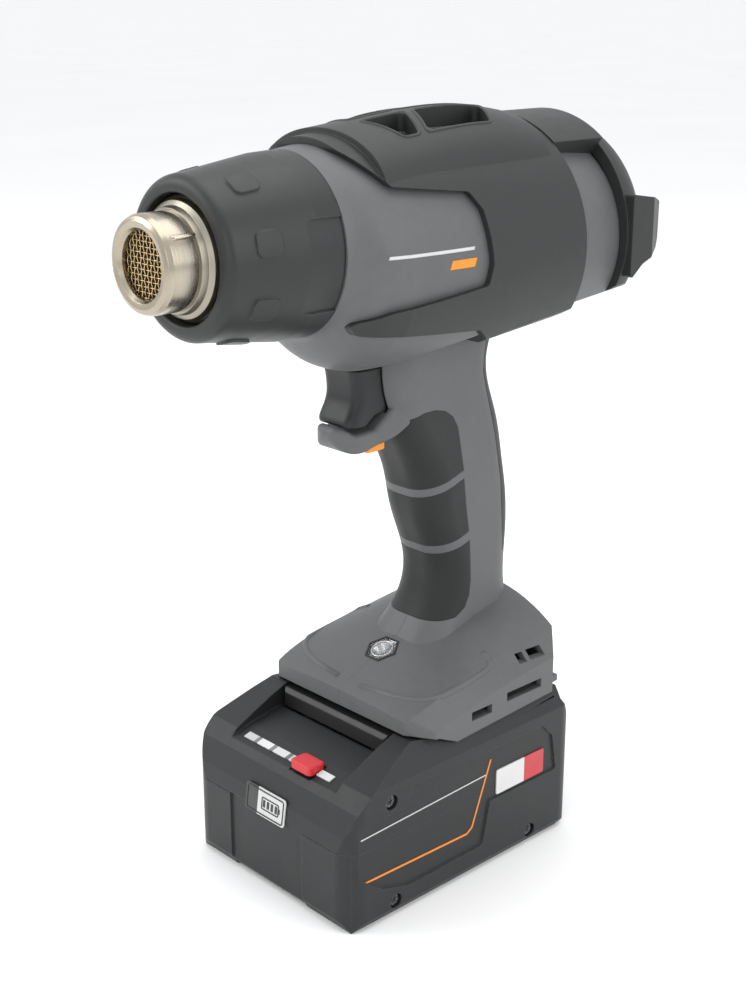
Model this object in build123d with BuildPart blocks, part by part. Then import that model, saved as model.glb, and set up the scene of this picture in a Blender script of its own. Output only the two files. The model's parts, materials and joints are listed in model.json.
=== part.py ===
from build123d import *
import os
from math import cos, radians, sin, tan

os.makedirs("parts", exist_ok=True)

# Cordless heat gun standing on its battery. Millimetres, +Z up, the outlet points to -Y,
# X = 0 is the plane of symmetry, and the origin is the centre of the battery's base.

# ------------------------------------------------------------------ driving dimensions
WALL = 2.8                # housing wall
GAP = 0.3                 # clearance between pieces that move past each other
SKIN = 1.8                # depth of the soft skins let into the grip
EPS = 0.05                # seat clearance between fixed pieces

OUTLET_Z = 257.5          # height of the outlet axis
MOTOR_Z = 254.0           # height of the motor axis
TUBE_R = 17.0             # outlet tube, outside radius
TUBE_FRONT = -114.0       # front rim of the outlet tube
SEAM_Y = -51.0            # where the front sleeve meets the housing
COVER_REAR = 59.5         # rear edge of the top cover
RING_REAR = 88.0          # rear edge of the housing, where the rear cap starts
CAP_REAR = 114.0          # end of the rear dome

# outside of the barrel: (y, radius, height of centre), the flare and then the long body
FLARE = [(SEAM_Y, 33.4, 257.5), (-45.5, 35.6, 255.9), (-40.0, 39.2, 252.9), (-34.5, 41.2, 251.5),
         (-29.0, 42.5, 250.7)]
BODY = [FLARE[-1], (0.5, 45.0, 249.2), (30.0, 45.6, 249.0), (COVER_REAR, 45.2, 249.6)]
# underside of the barrel: a broad arch whose lowest line rises towards the rear
BELLY_R = 80.0
BELLY = [(-60.0, 206.1), (130.0, 223.4)]
RING = [(COVER_REAR - 2, 44.0, 249.0), (RING_REAR, 41.0, 248.6)]
# outside of the grip: (z, front y, rear y, half width)
GRIP = [
    (88.0, 3.6, 60.0, 20.0), (93.0, 8.2, 60.6, 18.6), (99.0, 12.4, 60.5, 17.2), (108.0, 16.5, 60.0, 16.4),
    (131.0, 14.0, 60.6, 16.5), (153.0, 7.4, 58.4, 16.6), (171.0, 0.6, 54.6, 16.8),
    (186.0, -9.0, 49.6, 17.2), (198.0, -14.0, 45.4, 17.6), (212.0, -15.0, 46.0, 18.2),
    (228.0, -15.0, 50.0, 19.0),
]
GRIP_CORNER = 13.0        # corner radius of the grip section

# foot of the housing: (y, height on the centre line, shoulder height, shoulder half width)
FOOT_HALF = 46.5
FOOT = [
    (-29.0, 75.6, 74.4, 38.0), (-10.0, 83.4, 80.4, 40.0), (14.0, 93.0, 85.0, 39.0),
    (40.0, 100.0, 88.4, 38.5), (61.0, 102.0, 89.6, 38.0),
]
FOOT_FRONT, FOOT_REAR = -27.0, 60.0
DECK_Z = 62.9             # height at Y = 0 of the plane where foot and battery meet
DECK_TILT = 3.1           # that plane rises towards the rear by this angle
DECK_SLOPE = tan(radians(DECK_TILT))

PACK_HALF = 48.0          # battery half width
PACK_FRONT, PACK_REAR = -65.0, 65.0
PACK_SEAM = 34.0          # height of the seam between its two shells
PACK_WALL = 2.6

deck = Plane(origin=(0, 0, DECK_Z), x_dir=(1, 0, 0),
             z_dir=(0, -sin(radians(DECK_TILT)), cos(radians(DECK_TILT))))


# ------------------------------------------------------------------ small helpers
def across(y):
    """Plane across the barrel at station y, facing forward: local axes are X and Z."""
    return Plane.XZ.offset(-y)


def level(z):
    return Plane.XY.offset(z)


def side(x):
    """Plane of a side view: local axes are Y and Z."""
    return Plane.YZ.offset(x)


def rod_y(y0, y1, radius, height, bore=0.0, x=0.0, mode=Mode.ADD):
    """Round bar or tube along Y in the current part."""
    with BuildSketch(across(y1)) as section:
        with Locations((x, height)):
            Circle(radius)
            if bore:
                Circle(bore, mode=Mode.SUBTRACT)
    extrude(section.sketch, amount=y1 - y0, mode=mode)


def rod_z(z0, z1, radius, spot, bore=0.0, mode=Mode.ADD):
    """Round bar or tube along Z at spot (x, y) in the current part."""
    with BuildSketch(level(z0)) as section:
        with Locations(spot):
            Circle(radius)
            if bore:
                Circle(bore, mode=Mode.SUBTRACT)
    extrude(section.sketch, amount=z1 - z0, mode=mode)


def rod_x(x0, x1, radius, spot, bore=0.0, mode=Mode.ADD):
    """Round bar or tube along X at spot (y, z) in the current part."""
    with BuildSketch(side(x0)) as section:
        with Locations(spot):
            Circle(radius)
            if bore:
                Circle(bore, mode=Mode.SUBTRACT)
    extrude(section.sketch, amount=x1 - x0, mode=mode)


def block(x0, x1, y0, y1, z0, z1, mode=Mode.ADD):
    """Box between two corners in the current part."""
    with BuildSketch(level(z0)) as section:
        with Locations(((x0 + x1) / 2, (y0 + y1) / 2)):
            Rectangle(abs(x1 - x0), abs(y1 - y0))
    extrude(section.sketch, amount=z1 - z0, mode=mode)


def slab(points, half, mode=Mode.ADD, rounding=0.0):
    """Side outline of (y, z) points, extruded to both sides of the middle plane."""
    with BuildSketch(Plane.YZ) as outline:
        with BuildLine():
            Polyline(*points, close=True)
        make_face()
        if rounding:
            fillet(outline.vertices(), rounding)
    extrude(outline.sketch, amount=half, both=True, mode=mode)


def lathe(points, height, mode=Mode.ADD):
    """Body of revolution about an axis along Y, from (y, radius) points."""
    with BuildSketch(Plane.YZ) as outline:
        with BuildLine():
            Polyline(*[(y, height + radius) for y, radius in points], close=True)
        make_face()
    revolve(outline.sketch, axis=Axis((0, 0, height), (0, 1, 0)), mode=mode)


def save(piece, name):
    piece.part.label = name
    export_step(piece.part, f"parts/{name}.step")


# ------------------------------------------------------------------ outer envelopes
def belly_form(grow):
    with BuildPart() as form:
        for y, lowest in BELLY:
            with BuildSketch(across(y)):
                with Locations((0, lowest + BELLY_R)):
                    Circle(BELLY_R + grow)
        loft(ruled=True)
    return form.part


def barrel_form(grow):
    with BuildPart() as form:
        for stretch in (FLARE, BODY):
            for y, radius, height in stretch:
                with BuildSketch(across(y)):
                    with Locations((0, height)):
                        Circle(radius + grow)
            loft()
        add(belly_form(grow), mode=Mode.INTERSECT)
    return form.part


def ring_form(grow):
    with BuildPart() as form:
        for y, radius, height in RING:
            with BuildSketch(across(y)):
                with Locations((0, height)):
                    Circle(radius + grow)
        loft()
        add(belly_form(grow), mode=Mode.INTERSECT)
    return form.part


def grip_form(shrink):
    with BuildPart() as form:
        for z, front, rear, half in GRIP:
            with BuildSketch(level(z)):
                with Locations((0, (front + rear) / 2)):
                    RectangleRounded(2 * (half - shrink), rear - front - 2 * shrink, GRIP_CORNER - shrink)
        loft()
    return form.part


def foot_form(shrink):
    with BuildPart() as form:
        for y, crown, shoulder, half in FOOT:
            with BuildSketch(across(y)):
                with BuildLine():
                    left = Polyline((-half + shrink, shoulder - shrink), (-FOOT_HALF + shrink, shoulder - 8),
                                    (-FOOT_HALF + shrink, 50), (FOOT_HALF - shrink, 50),
                                    (FOOT_HALF - shrink, shoulder - 8), (half - shrink, shoulder - shrink))
                    ThreePointArc(left @ 0, (0, crown - shrink), left @ 1)
                make_face()
        loft(ruled=False)
        with BuildSketch(level(40)):
            with Locations((0, (FOOT_FRONT + FOOT_REAR) / 2)):
                footprint = Rectangle(2 * FOOT_HALF - 2 * shrink, FOOT_REAR - FOOT_FRONT - 2 * shrink)
            chamfer(footprint.vertices(), 9.0)
        extrude(amount=80, mode=Mode.INTERSECT)
    return form.part


barrel = barrel_form(0)
barrel_skin = barrel_form(2.6)
barrel_bore = barrel_form(-WALL)
ring = ring_form(0)
ring_bore = ring_form(-WALL)
grip = grip_form(0)
grip_core = grip_form(SKIN)
grip_bore = grip_form(WALL + 0.6)
foot = foot_form(0)
foot_bore = foot_form(WALL)

# finger stop under the trigger, flared into the flanks of the grip
with BuildPart() as chin:
    with BuildSketch(Plane.YZ):
        with BuildLine():
            hook = Spline((-25.6, 184.0), (-28.6, 186.4), (-31.2, 187.0), (-33.0, 184.4), (-32.0, 180.2),
                          (-28.0, 177.0), (-22.6, 176.4), (-16.0, 178.2), (-8.0, 180.6), (-1.0, 185.4),
                          (8.0, 188.4))
            Polyline(hook @ 1, (8.0, 203.0), (-4.0, 199.0), (-12.0, 190.0), (-17.0, 185.0), hook @ 0)
        make_face()
    extrude(amount=19, both=True)
    with BuildSketch(level(160)):
        with BuildLine():
            flank = Spline((17.0, 10.0), (16.2, 0.0), (13.6, -9.0), (11.6, -17.0), (10.6, -24.0),
                           (7.0, -30.4), (0.0, -33.2))
            mirror(flank, about=Plane.YZ)
            Line(flank @ 0, (-17.0, 10.0))
        make_face()
    extrude(amount=60, mode=Mode.INTERSECT)
    fillet(chin.edges().filter_by(
        lambda e: abs(e.center().X) > 5 and e.center().Z < 189 and e.length > 6), 2.0)

# Outline of the foot's underside: level with the battery's deck, raised at the front lip
foot_underside = [
    (-60, 40), (90, 40), (90, DECK_Z + 90 * DECK_SLOPE), (-6.0, DECK_Z - 6.0 * DECK_SLOPE),
    (-16.0, 67.4), (FOOT_FRONT, 69.3), (-60, 70.0),
]

with BuildPart() as envelope:
    add(barrel)
    add(ring)
    add(grip)
    add(foot)
    slab(foot_underside, 60, mode=Mode.SUBTRACT)
    add(chin.part)
    slab([(-14.2, 209.2), (-14.2, 190.4), (-40.0, 190.4), (-40.0, 209.2)], 30, mode=Mode.SUBTRACT)

# ------------------------------------------------------------------ skins on the outside
BAND_RISE = 0.34          # the bands between the grip pads rise towards the rear by this slope
BAND = 2.0                # half height of such a band
BAND_HEIGHTS = (150.4, 121.6)   # their heights at Y = 0


def band_edge(height, offset):
    """Two points of a band's edge, well in front of the grip and behind it."""
    return [(y, height + y * BAND_RISE + offset) for y in (-30, 80)]


cover_outline = [
    (-41.0, 330), (-41.0, 291.0), (-31.4, 279.2), (1.6, 275.4), (5.6, 269.0), (7.4, 250.0),
    (5.6, 242.0), (-36.0, 236.6), (-46.6, 232.4), (-43.6, 228.0), (8.0, 224.4), (20.0, 216.0),
    (31.0, 213.0), (35.5, 200.0), (COVER_REAR, 200.0), (COVER_REAR, 330),
]
CROWN_WIDE, CROWN_HIGH = 34.0, 20.0   # half axes of the raised crown's section
CROWN = [(-33.0, 297.2), (-4.0, 300.2), (25.0, 302.0), (54.0, 299.4)]     # (y, height of its top)
# air intakes in the crown, as seen from above on the right-hand side; the left side mirrors them
OPENINGS = [[(3.6, -17.0), (3.6, 4.0), (22.0, -6.4), (22.0, -13.4)],
            [(3.6, 9.4), (3.6, 44.0), (22.0, 31.0), (22.0, -1.6)]]

with BuildPart() as crown:
    for y, top in CROWN:
        with BuildSketch(across(y)):
            with Locations((0, top - CROWN_HIGH)):
                Ellipse(CROWN_WIDE, CROWN_HIGH)
    loft()

with BuildPart() as top_openings:
    for corners in OPENINGS:
        with BuildSketch(level(284)) as opening:
            Polygon(*corners, align=None)
            fillet(opening.vertices(), 2.2)
        extrude(amount=30)
    mirror(about=Plane.YZ)

with BuildPart() as top_cover:
    add(barrel_skin)
    add(crown.part)
    slab(cover_outline, 70, mode=Mode.INTERSECT, rounding=2.0)
    add(envelope.part, mode=Mode.SUBTRACT)
    add(top_openings.part, mode=Mode.SUBTRACT)
save(top_cover, "top_cover")

backstrap_outline = [
    (36.5, 213.0), (36.0, 200.0), (39.6, 188.0), (44.6, 172.0), (49.0, 152.0), (50.8, 132.0),
    (51.6, 121.0), (70.0, 104.0), (90.0, 130.0), (90.0, 213.0),
]
with BuildPart() as backstrap_zone:
    slab(backstrap_outline, 40)
with BuildPart() as backstrap:
    add(grip)
    add(grip_core, mode=Mode.SUBTRACT)
    add(backstrap_zone.part, mode=Mode.INTERSECT)
    add(barrel_skin, mode=Mode.SUBTRACT)
save(backstrap, "backstrap")

upper_pad_top = [(-30.0, 176.4), (-12.0, 180.2), (-7.6, 184.0), (-2.6, 187.2), (3.0, 188.9), (9.0, 189.0),
                 (14.6, 187.7), (19.2, 184.6), (22.4, 179.6), (24.2, 172.0)]
pad_outlines = {
    "grip_pad_upper": [(26.6, 159.8 + BAND / 2), *band_edge(BAND_HEIGHTS[0], BAND)[:1], *upper_pad_top],
    "grip_pad_middle": [(26.8, 157.4), (30.6, 133.8), *band_edge(BAND_HEIGHTS[1], BAND)[:1],
                        *band_edge(BAND_HEIGHTS[0], -BAND)[:1]],
    "grip_pad_lower": [(31.0, 130.0), (32.2, 112.0), (31.4, 105.6), (28.4, 101.0), (23.0, 98.4),
                       (16.0, 97.6), (-30.0, 97.6),
                       *band_edge(BAND_HEIGHTS[1], -BAND)[:1]],
}
pads = {}
for pad_name, pad_outline in pad_outlines.items():
    with BuildPart() as pad:
        add(grip)
        add(grip_core, mode=Mode.SUBTRACT)
        slab(pad_outline, 40, mode=Mode.INTERSECT)
        add(chin.part, mode=Mode.SUBTRACT)
    save(pad, pad_name)
    pads[pad_name] = pad.part

# ------------------------------------------------------------------ housing
FOOT_VENTS = [(2.2, 13.9, 68.6, 72.4), (22.8, 43.7, 70.4, 74.2), (33.5, 37.5, 82.6, 86.0),
              (39.6, 47.6, 82.8, 86.2)]
SCREW_SPOTS = [(42.0, 112.0), (40.0, 190.0), (-36.0, 219.4), (52.0, 90.0)]
SCREW_R, SCREW_HEAD_R, BOSS_R = 1.4, 2.9, 3.6
NECK_R = 29.6             # spigot that carries the front sleeve
NECK_FRONT = SEAM_Y - 9.0
SUPPORT_R = 24.0          # bore that holds the heater support
LAMP_Y, LAMP_Z, LAMP_TILT = -2.6, 86.3, 21.8    # centre and tilt of the work light
LAMP_R = 7.2
RAIL_INNER, RAIL_OUTER = 27.6, 44.0
RAIL_FRONT, RAIL_REAR = FOOT_FRONT + 22, FOOT_REAR - WALL
RAIL_LOW, RAIL_HIGH = 2.2, 5.0        # the guide rails' underside and top above the deck plane
LOCK_HALF = 7.5
LOCK_SLOT = (-22.1, -8.1)   # slot of the lock lever in the finger stop, from y to y

lamp = Plane(origin=(0, LAMP_Y, LAMP_Z), x_dir=(1, 0, 0),
             z_dir=(0, -sin(radians(LAMP_TILT)), cos(radians(LAMP_TILT))))

with BuildPart() as inside:
    add(barrel_bore)
    block(-60, 60, -60, SEAM_Y + WALL, 200, 300, mode=Mode.SUBTRACT)
    add(ring_bore)
    add(grip_bore)
    add(foot_bore)
    rod_y(NECK_FRONT - 1, SEAM_Y + WALL + 1, SUPPORT_R, OUTLET_Z)

with BuildPart() as rails:
    for sense in (-1, 1):
        with BuildSketch(deck.offset(RAIL_LOW)):
            with Locations((sense * (RAIL_INNER + RAIL_OUTER) / 2, (RAIL_REAR + RAIL_FRONT) / 2)):
                Rectangle(RAIL_OUTER - RAIL_INNER, RAIL_REAR - RAIL_FRONT)
        extrude(amount=RAIL_HIGH - RAIL_LOW)

with BuildPart() as bosses:
    for spot in SCREW_SPOTS:
        rod_x(-26, 26, BOSS_R, spot)
    add(envelope.part, mode=Mode.INTERSECT)

with BuildPart() as housing:
    add(envelope.part)
    rod_y(NECK_FRONT, SEAM_Y + 1, NECK_R, OUTLET_Z)
    add(inside.part, mode=Mode.SUBTRACT)
    add(rails.part)
    add(bosses.part)
    for pad_part in pads.values():
        add(pad_part, mode=Mode.SUBTRACT)
    add(backstrap.part, mode=Mode.SUBTRACT)
    add(top_openings.part, mode=Mode.SUBTRACT)
    for spot in SCREW_SPOTS:
        rod_x(-13, 13, SCREW_R + EPS, spot, mode=Mode.SUBTRACT)
        rod_x(-60, -9, SCREW_HEAD_R + EPS, spot, mode=Mode.SUBTRACT)
    for y0, y1, z0, z1 in FOOT_VENTS:
        block(-60, -34, y0, y1, z0, z1, mode=Mode.SUBTRACT)
        block(34, 60, y0, y1, z0, z1, mode=Mode.SUBTRACT)
    with BuildSketch(lamp.offset(-12)):
        RegularPolygon(LAMP_R, 6)
    extrude(amount=30, mode=Mode.SUBTRACT)
    block(-11.0, 11.0, -20, 0, 190.4, 208.8, mode=Mode.SUBTRACT)
    block(-LOCK_HALF - GAP, LOCK_HALF + GAP, *LOCK_SLOT, 160, 182.1, mode=Mode.SUBTRACT)

for side_name, keep in (("left", Keep.BOTTOM), ("right", Keep.TOP)):
    with BuildPart() as half_shell:
        add(housing.part)
        split(bisect_by=Plane.YZ, keep=keep)
    save(half_shell, f"housing_{side_name}")

with BuildPart() as housing_screws:
    for spot in SCREW_SPOTS:
        rod_x(-12, 11, SCREW_R, spot)
        rod_x(-12, -9.1, SCREW_HEAD_R, spot)
save(housing_screws, "housing_screws")

# ------------------------------------------------------------------ front sleeve
SLEEVE_FRONT = -98.0
SLEEVE_BORE = 22.4
SLEEVE_REAR = SEAM_Y - 0.2
MARK_ANGLES = [58, 14, -30, -74, 122, 166, 210, 254]
MARK_Y, MARK_LONG, MARK_WIDE = -82.0, 10.0, 9.0
PANEL_FRONT, PANEL_TURN = -67.5, 30.0
RELIEF = 0.8              # height of the marks and depth of the side panels


def sleeve_outside(grow):
    return [(SLEEVE_REAR, 33.4 + grow), (-62.0, 33.0 + grow), (-88.0, 29.4 + grow)]


with BuildPart() as sleeve_marks:
    for angle in MARK_ANGLES:
        outward = (cos(radians(angle)), 0, sin(radians(angle)))
        with BuildSketch(Plane(origin=(0, MARK_Y, OUTLET_Z), x_dir=(0, 1, 0), z_dir=outward).offset(26)):
            RectangleRounded(MARK_LONG, MARK_WIDE, 2.5)
        extrude(amount=8)
    lathe([(-95, 24), *reversed(sleeve_outside(RELIEF)), (SLEEVE_REAR, 24)], OUTLET_Z, mode=Mode.INTERSECT)

with BuildPart() as sleeve_panels:
    for turn in (-6.0, 186.0):
        with BuildSketch(across(SLEEVE_REAR)):
            with Locations((0, OUTLET_Z)):
                with Locations(Rotation(0, 0, turn)):
                    with Locations((30, 0)):
                        Rectangle(20, 60 * sin(radians(PANEL_TURN)) * 1.1)
        extrude(amount=SLEEVE_REAR - PANEL_FRONT)
    fillet(sleeve_panels.edges().filter_by(Axis.X, reverse=True).group_by(Axis.Y)[0].filter_by(
        lambda e: e.length < 21), 4.0)
    lathe([(-70, 33.1 - RELIEF), (SLEEVE_REAR + 1, 33.4 - RELIEF), (SLEEVE_REAR + 1, 50), (-70, 50)],
          OUTLET_Z, mode=Mode.INTERSECT)

with BuildPart() as front_sleeve:
    with BuildSketch(Plane.YZ) as sleeve_half:
        with BuildLine():
            Polyline(*[(y, OUTLET_Z + r) for y, r in [
                (SLEEVE_REAR, NECK_R + 0.2), *sleeve_outside(0), (SLEEVE_FRONT, 28.2),
                (SLEEVE_FRONT, SLEEVE_BORE), (-88.0, SLEEVE_BORE), (-88.0, 25.6), (-62.0, NECK_R + 0.2)]],
                close=True)
        make_face()
        fillet(sleeve_half.vertices().group_by(Axis.X)[0].sort_by(Axis.Y)[0], 1.2)
        fillet(sleeve_half.vertices().group_by(Axis.X)[0].sort_by(Axis.Y)[-1], 4.0)
    revolve(axis=Axis((0, 0, OUTLET_Z), (0, 1, 0)))
    add(sleeve_marks.part)
    add(sleeve_panels.part, mode=Mode.SUBTRACT)
save(front_sleeve, "front_sleeve")

# ------------------------------------------------------------------ rear cap, filter, bumpers, dial
CAP_R = 45.0
CAP_Z = 250.4
CAP_WALL = 2.6
CAP_FLAT = 112.0          # the middle of the dome is flat from here
TONGUE_TURN = 38.0        # the cap reaches forward over the top by this angle each way
INTAKE_SLOTS = 18
DIAL_R, DIAL_STEM_R = 14.0, 2.9
STAND_Y = 117.6           # the bumpers end in this plane
FILTER_R = 27.6


def dome(radius, front, rear, power=2.3, steps=7):
    """Points (y, radius) of a rounded cap that closes towards the rear."""
    spots = [i / steps for i in range(steps + 1)]
    return [(front + (rear - front) * t, radius * (1 - t ** power) ** (1 / power)) for t in spots]


with BuildPart() as cap_outside:
    with BuildSketch(Plane.YZ):
        with BuildLine():
            outline = Spline(*[(y, CAP_Z + r) for y, r in dome(CAP_R, RING_REAR + EPS, CAP_REAR)],
                             tangents=[(1, 0), (0, -1)])
            Polyline(outline @ 1, (RING_REAR + EPS, CAP_Z), outline @ 0)
        make_face()
    revolve(axis=Axis((0, 0, CAP_Z), (0, 1, 0)))
    rod_y(CAP_FLAT, CAP_REAR + 2, CAP_R, CAP_Z, mode=Mode.SUBTRACT)
    add(belly_form(0), mode=Mode.INTERSECT)

with BuildPart() as cap_inside:
    rod_y(RING_REAR - 1, 96.0, CAP_R - CAP_WALL - 2.4, CAP_Z)
    rod_y(95.0, 104.0, 33.0, CAP_Z)
    rod_y(103.0, CAP_FLAT - CAP_WALL, 25.0, CAP_Z)
    add(belly_form(-CAP_WALL), mode=Mode.INTERSECT)

with BuildPart() as cap_tongue:
    with BuildSketch(across(RING_REAR + 1)):
        with Locations((0, CAP_Z - 1.6)):
            Circle(49.0)
    extrude(amount=RING_REAR + 1 - COVER_REAR - 0.2)
    reach = 60 * tan(radians(TONGUE_TURN))
    with BuildSketch(across(RING_REAR + 2)):
        Polygon((-reach, CAP_Z + 60), (reach, CAP_Z + 60), (0, CAP_Z), align=None)
    extrude(amount=40, mode=Mode.INTERSECT)
    add(ring, mode=Mode.SUBTRACT)
    add(barrel, mode=Mode.SUBTRACT)

with BuildPart() as rear_cap:
    add(cap_outside.part)
    add(cap_inside.part, mode=Mode.SUBTRACT)
    add(cap_tongue.part)
    with BuildSketch(across(CAP_FLAT + 4)):
        with Locations((0, CAP_Z)):
            with PolarLocations(22.0, INTAKE_SLOTS):
                SlotOverall(9.0, 2.4)
    extrude(amount=26, mode=Mode.SUBTRACT)
    rod_y(CAP_FLAT - 8, CAP_FLAT + 4, DIAL_STEM_R + GAP, CAP_Z, mode=Mode.SUBTRACT)
save(rear_cap, "rear_cap")

bumper_side = [(RING_REAR + 1, 233.2), (97.0, 239.0), (104.0, 241.4), (114.0, 243.2), (STAND_Y, 246.6),
               (STAND_Y, 261.4), (104.0, 264.8), (RING_REAR + 1, 267.2)]
for side_name, sense in (("left", -1), ("right", 1)):
    with BuildPart() as bumper:
        slab(bumper_side, 60, rounding=1.2)
        with BuildSketch(level(230)):
            Polygon((sense * 28, RING_REAR + 0.6), (sense * 46.6, RING_REAR + 0.6), (sense * 46.0, 103.0),
                    (sense * 37.5, STAND_Y), (sense * 28, STAND_Y), align=None)
        extrude(amount=50, mode=Mode.INTERSECT)
        add(rear_cap.part, mode=Mode.SUBTRACT)
        rod_y(RING_REAR - 2, 104.0, 40.2, CAP_Z, mode=Mode.SUBTRACT)
        rod_y(103.0, CAP_FLAT, 33.0, CAP_Z, mode=Mode.SUBTRACT)
    save(bumper, f"rear_bumper_{side_name}")

with BuildPart() as air_filter:
    rod_y(90.0, 93.0, FILTER_R, CAP_Z, bore=9.0)
save(air_filter, "air_filter")

with BuildPart() as temperature_dial:
    rod_y(CAP_FLAT + GAP, CAP_FLAT + 4.4, DIAL_R, CAP_Z)
    with BuildSketch(across(CAP_FLAT + 5)):
        with Locations((0, CAP_Z)):
            with PolarLocations(DIAL_R + 0.6, 24):
                Circle(1.1)
    extrude(amount=6, mode=Mode.SUBTRACT)
    block(-1.5, 1.5, CAP_FLAT + 3.4, CAP_FLAT + 6, CAP_Z + 3, CAP_Z + DIAL_R - 2, mode=Mode.SUBTRACT)
    rod_y(CAP_FLAT - 11, CAP_FLAT + 1, DIAL_STEM_R, CAP_Z)
save(temperature_dial, "temperature_dial")

with BuildPart() as dial_potentiometer:
    rod_y(97.0, CAP_FLAT - 7, 8.0, CAP_Z)
    rod_y(CAP_FLAT - 11 - GAP, CAP_FLAT, DIAL_STEM_R + GAP, CAP_Z, mode=Mode.SUBTRACT)
save(dial_potentiometer, "dial_potentiometer")

# ------------------------------------------------------------------ outlet and heater
TUBE_BORE = 16.1
RIM_BORE = 11.6
TUBE_SEAT = 16.7          # outside radius of the tube where it is held, behind the bare front
TUBE_REAR = -42.0
FLANGE_FRONT = -101.0      # the tube is bare in front of this station
MESH_PITCH, MESH_WIRE = 2.3, 0.5
MICA_R, MICA_WALL = 15.6, 0.6
FORMER_HALF, FORMER_PLATE = 11.0, 1.0
COIL_R, COIL_WIRE, COIL_PITCH = 12.4, 0.6, 4.0

with BuildPart() as outlet_tube:
    lathe([(TUBE_REAR, TUBE_SEAT), (FLANGE_FRONT, TUBE_SEAT), (FLANGE_FRONT, TUBE_R), (-111.4, TUBE_R),
           (-113.2, 16.2), (TUBE_FRONT, 14.6), (-113.6, 12.6),
           (-112.2, RIM_BORE), (-110.8, RIM_BORE), (-110.8, 12.4), (-112.4, 13.2), (-112.8, 14.6),
           (-112.2, 15.6), (-111.0, TUBE_BORE), (TUBE_REAR, TUBE_BORE)], OUTLET_Z)
save(outlet_tube, "outlet_tube")

with BuildPart() as outlet_flange:
    lathe([(FLANGE_FRONT, TUBE_SEAT + EPS), (FLANGE_FRONT, 17.8), (-98.6, 18.4), (-97.4, 20.0),
           (-95.0, 20.6), (-94.0, 21.8), (-84.0, 21.8), (-84.0, TUBE_SEAT + EPS)], OUTLET_Z)
save(outlet_flange, "outlet_flange")

with BuildPart() as outlet_mesh:
    with BuildSketch(across(-109.6)):
        with Locations((0, OUTLET_Z)):
            with GridLocations(MESH_PITCH, 1, 13, 1):
                Rectangle(MESH_WIRE, 34)
            with GridLocations(1, MESH_PITCH, 1, 13):
                Rectangle(34, MESH_WIRE)
            Circle(TUBE_BORE - 0.6, mode=Mode.INTERSECT)
    extrude(amount=0.8)
    rod_y(-110.4, -109.6, TUBE_BORE - EPS, OUTLET_Z, bore=TUBE_BORE - 1.2)
save(outlet_mesh, "outlet_mesh")

with BuildPart() as mica_tube:
    rod_y(-108.0, -45.0, MICA_R, OUTLET_Z, bore=MICA_R - MICA_WALL)
save(mica_tube, "mica_tube")

with BuildPart() as heater_former:
    block(-FORMER_HALF, FORMER_HALF, -104.0, -48.0, OUTLET_Z - FORMER_PLATE / 2, OUTLET_Z + FORMER_PLATE / 2)
    block(-FORMER_PLATE / 2, FORMER_PLATE / 2, -104.0, -48.0, OUTLET_Z - FORMER_HALF, OUTLET_Z + FORMER_HALF)
save(heater_former, "heater_former")

with BuildPart() as heater_coil:
    with BuildLine():
        turns = Helix(pitch=COIL_PITCH, height=44.0, radius=COIL_R, center=(0, -98.0, OUTLET_Z),
                      direction=(0, 1, 0))
    with BuildSketch(Plane(origin=turns @ 0, z_dir=turns % 0)):
        Circle(COIL_WIRE)
    sweep(is_frenet=True)
save(heater_coil, "heater_coil")

with BuildPart() as heater_support:
    rod_y(-56.0, -44.0, SUPPORT_R - EPS, OUTLET_Z, bore=TUBE_SEAT + EPS)
save(heater_support, "heater_support")

with BuildPart() as temperature_sensor:
    rod_y(-96.0, -43.0, 0.7, OUTLET_Z + 14.1)
save(temperature_sensor, "temperature_sensor")

# ------------------------------------------------------------------ blower
DUCT_R = 34.6
DUCT_WALL = 1.6
IMPELLER_R = 31.0
IMPELLER_FRONT, IMPELLER_REAR = 4.0, 22.0
BLADES = 9
SHAFT_R = 1.6
MOTOR_R = 18.0
MOTOR_FRONT, MOTOR_REAR = 31.0, 70.0

with BuildPart() as fan_housing:
    with BuildSketch(across(TUBE_REAR + EPS)):
        with Locations((0, OUTLET_Z)):
            Circle(20.0)
    with BuildSketch(across(-6.0)):
        with Locations((0, MOTOR_Z)):
            Circle(DUCT_R)
    loft()
    rod_y(-6.0, 30.0, DUCT_R, MOTOR_Z)
    with BuildSketch(across(TUBE_REAR)):
        with Locations((0, OUTLET_Z)):
            Circle(20.0 - DUCT_WALL)
    with BuildSketch(across(-6.0)):
        with Locations((0, MOTOR_Z)):
            Circle(DUCT_R - DUCT_WALL)
    loft(mode=Mode.SUBTRACT)
    rod_y(-6.1, 31.0, DUCT_R - DUCT_WALL, MOTOR_Z, mode=Mode.SUBTRACT)
save(fan_housing, "fan_housing")

with BuildPart() as impeller:
    rod_y(IMPELLER_FRONT, IMPELLER_REAR, 8.0, MOTOR_Z)
    rod_y(IMPELLER_REAR - 1.6, IMPELLER_REAR, IMPELLER_R, MOTOR_Z)
    with BuildSketch(across(IMPELLER_REAR - 1)):
        with Locations((0, MOTOR_Z)):
            with PolarLocations(0, BLADES):
                with Locations(Location((7.0, 0, 0), (0, 0, 28))):
                    Rectangle(25.0, 1.4, align=(Align.MIN, Align.CENTER))
            Circle(IMPELLER_R, mode=Mode.INTERSECT)
    extrude(amount=IMPELLER_REAR - 1 - IMPELLER_FRONT)
    rod_y(IMPELLER_FRONT - 1, IMPELLER_REAR + 1, SHAFT_R + 0.02, MOTOR_Z, mode=Mode.SUBTRACT)
save(impeller, "impeller")

with BuildPart() as motor_shaft:
    rod_y(IMPELLER_FRONT, MOTOR_REAR + 2, SHAFT_R, MOTOR_Z)
save(motor_shaft, "motor_shaft")

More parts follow.
